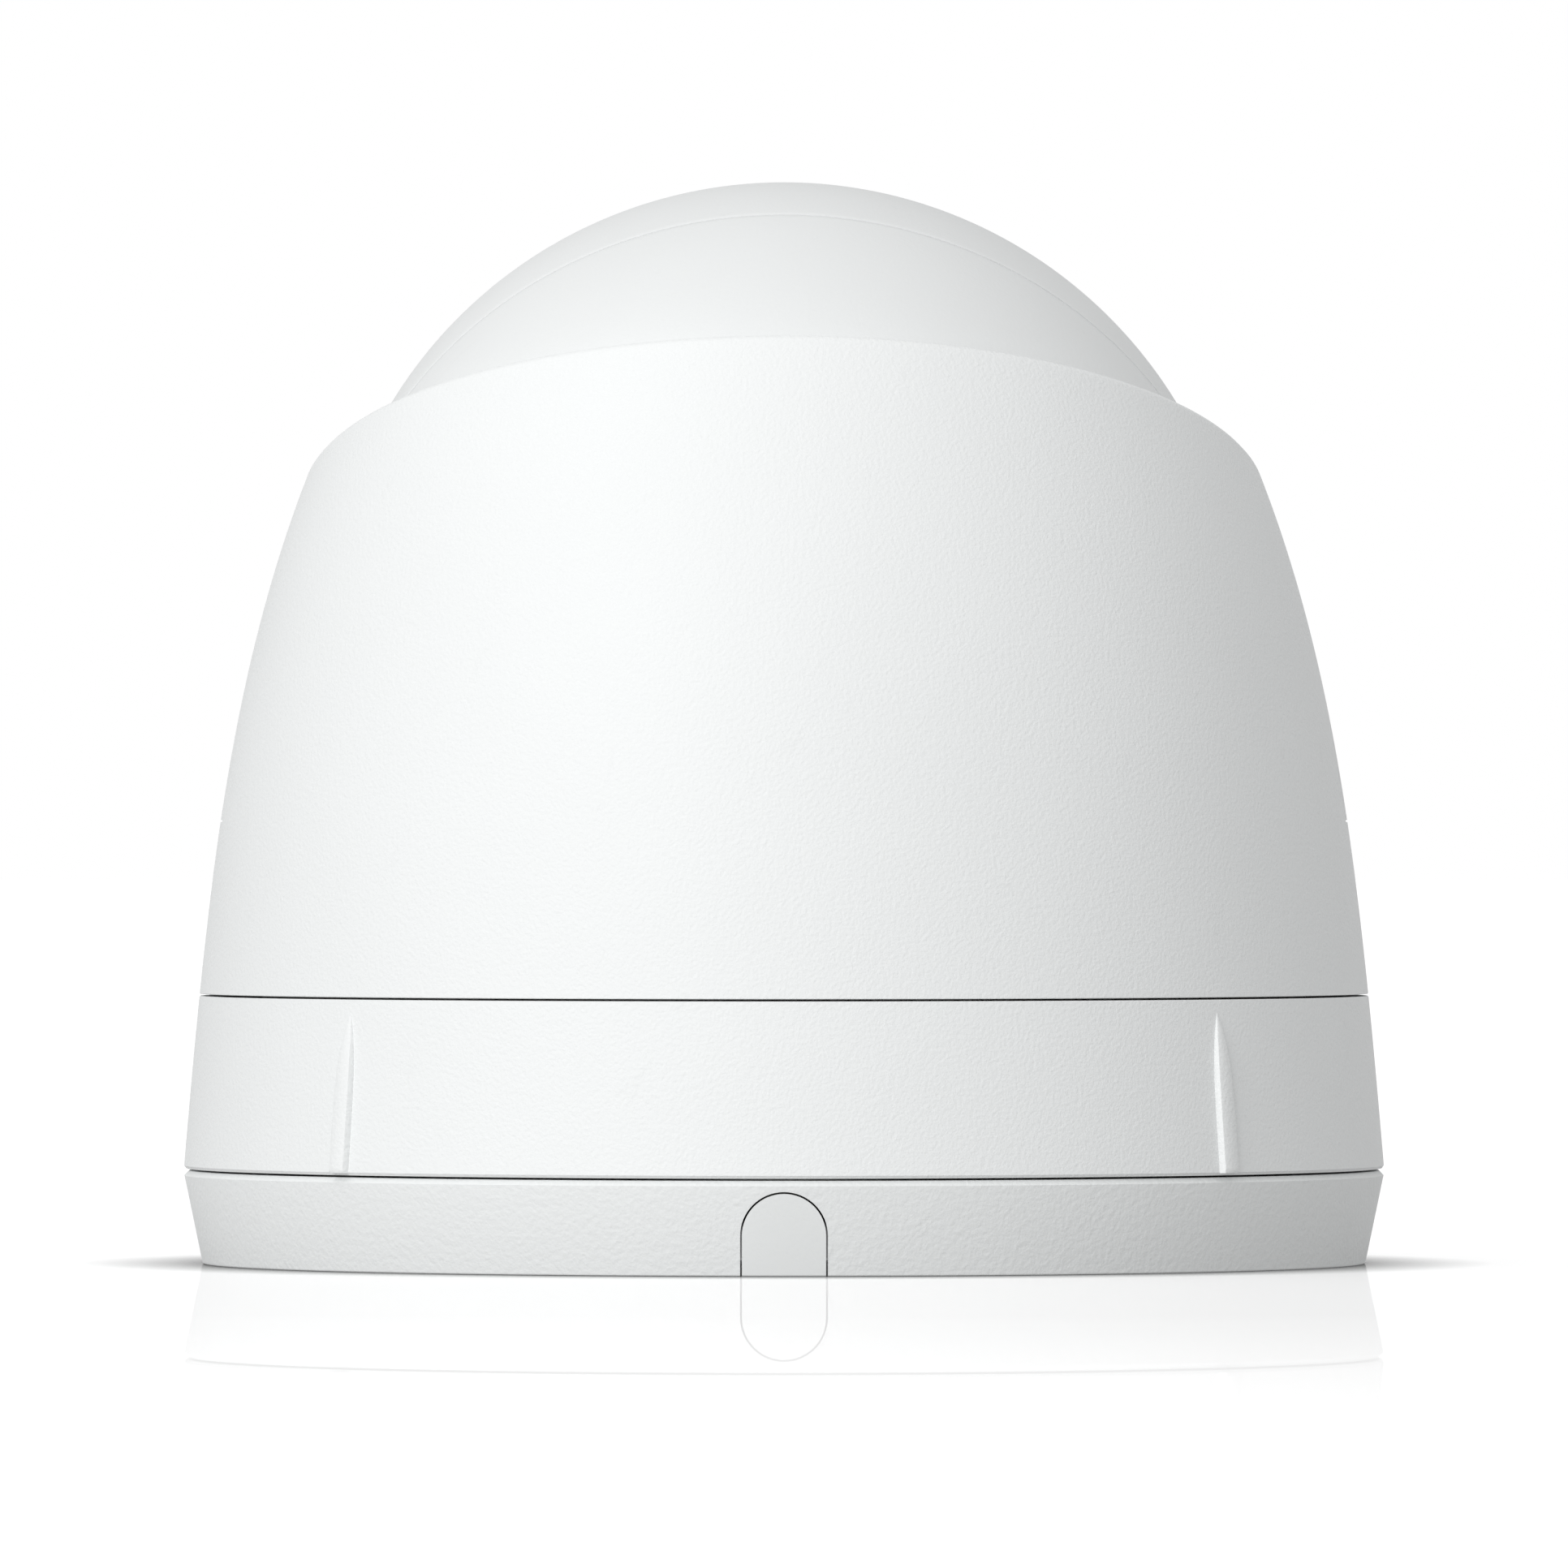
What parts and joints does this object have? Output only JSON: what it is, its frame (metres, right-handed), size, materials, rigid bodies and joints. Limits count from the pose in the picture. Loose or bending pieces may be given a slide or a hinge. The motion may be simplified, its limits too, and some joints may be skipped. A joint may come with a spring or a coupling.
{
  "type": "security camera",
  "caption": "Compact ceiling or wall turret camera: a ball with a window and lens that pans, tilts and rolls in a round housing on a twist-lock mounting base.",
  "frame": {"origin": "centre of the mounting face of the base", "axes": "+Z away from the mounting surface; the side cable entry faces -Y; the lens looks towards +Y, raised 23 degrees at rest"},
  "size_m": [0.085, 0.085, 0.0766],
  "materials": {
    "housing_white": "fine moulded grain, satin",
    "base_white": "fine moulded grain, matt",
    "cover_white": "smooth, matt",
    "ball_white": "smooth, satin",
    "window_black": "polished, dark tinted",
    "seal_rubber": "matt",
    "dark_plastic": "fine grain, matt",
    "spring_steel": "rolled, satin",
    "screw_steel": "zinc plated",
    "glide_plastic": "natural, waxy",
    "chassis_aluminium": "die cast, blasted",
    "board_green": "solder mask over glass laminate",
    "lamp_board_black": "black solder mask",
    "chip_black": "moulded epoxy",
    "pad_grey": "soft silicone",
    "socket_nylon": "natural nylon",
    "sensor_glass": "coated cover glass",
    "coil_copper": "enamelled copper wire",
    "filter_day": "infrared cut coating",
    "filter_night": "clear",
    "lens_black": "black anodised",
    "lock_ring_brass": "machined",
    "lens_glass": "coated",
    "lamp_resin": "clear resin over ceramic",
    "mic_can": "plated can",
    "socket_metal": "pressed sheet",
    "button_red": "moulded"
  },
  "bodies": {
    "base": {"mount_base": "base_white", "base_gasket": "seal_rubber"},
    "entry_cover": {"cable_entry_cover": "cover_white"},
    "band": {"lower_band": "housing_white", "floor_tray": "dark_plastic", "tray_screws": "screw_steel", "cable_grommet": "seal_rubber", "pan_seal": "seal_rubber"},
    "housing": {"shell": "housing_white", "front_fascia": "housing_white"},
    "yoke": {"tilt_yoke": "spring_steel", "trunnion_pins": "screw_steel", "tilt_washers": "glide_plastic"},
    "ball": {"roll_washer": "glide_plastic", "roll_retainer": "spring_steel", "ball_rear": "ball_white", "ball_front": "ball_white", "ball_seal": "seal_rubber", "ball_screws": "screw_steel", "front_window": "window_black", "window_gasket": "seal_rubber", "chassis_plate": "chassis_aluminium", "chassis_screws": "screw_steel", "main_board": "board_green", "processor": "chip_black", "thermal_pad": "pad_grey", "harness_socket": "socket_nylon", "board_screws": "screw_steel", "sensor_board": "board_green", "sensor_screws": "screw_steel", "image_sensor": "sensor_glass", "lens_holder": "dark_plastic", "filter_frame": "dark_plastic", "filter_coil": "coil_copper", "lens_barrel": "lens_black", "lens_lock_ring": "lock_ring_brass", "front_lens": "lens_glass", "rear_lens": "lens_glass", "lens_baffle": "seal_rubber", "lamp_board": "lamp_board_black", "lamp_screws": "screw_steel", "infrared_lamps": "lamp_resin", "light_sensor": "lamp_resin", "status_light": "lamp_resin", "microphone": "mic_can", "service_board": "board_green", "card_socket": "socket_metal", "reset_switch": "dark_plastic", "service_cover": "ball_white", "service_seal": "seal_rubber", "service_screws": "screw_steel"},
    "filter_slide": {"filter_carrier": "dark_plastic", "infrared_filter": "filter_day", "clear_filter": "filter_night"},
    "reset": {"reset_button": "button_red"}
  },
  "joints": [
    {"name": "entry_cover_pull", "type": "slide", "parent": "base", "child": "entry_cover", "axis": [0, -1, 0], "range_m": [0, 0.006]},
    {"name": "twist_lock", "type": "hinge", "parent": "base", "child": "band", "pos_m": [0, 0, 0], "axis": [0, 0, 1], "range_deg": [0, 25]},
    {"name": "pan", "type": "hinge", "parent": "band", "child": "housing", "pos_m": [0, 0, 0], "axis": [0, 0, 1], "range_deg": [-175, 175]},
    {"name": "tilt", "type": "hinge", "parent": "housing", "child": "yoke", "pos_m": [0, 0, 0.044], "axis": [1, 0, 0], "range_deg": [-8, 67]},
    {"name": "roll", "type": "hinge", "parent": "yoke", "child": "ball", "pos_m": [0, 0, 0.044], "axis": [0, 0.9205, 0.3907], "range_deg": [-175, 175]},
    {"name": "filter_switch", "type": "slide", "parent": "ball", "child": "filter_slide", "axis": [1, 0, 0], "range_m": [0, 0.005]},
    {"name": "reset_press", "type": "slide", "parent": "ball", "child": "reset", "axis": [0, -0.7771, 0.6293], "range_m": [0, 0.0004], "stiffness_N_per_m": 400}
  ]
}
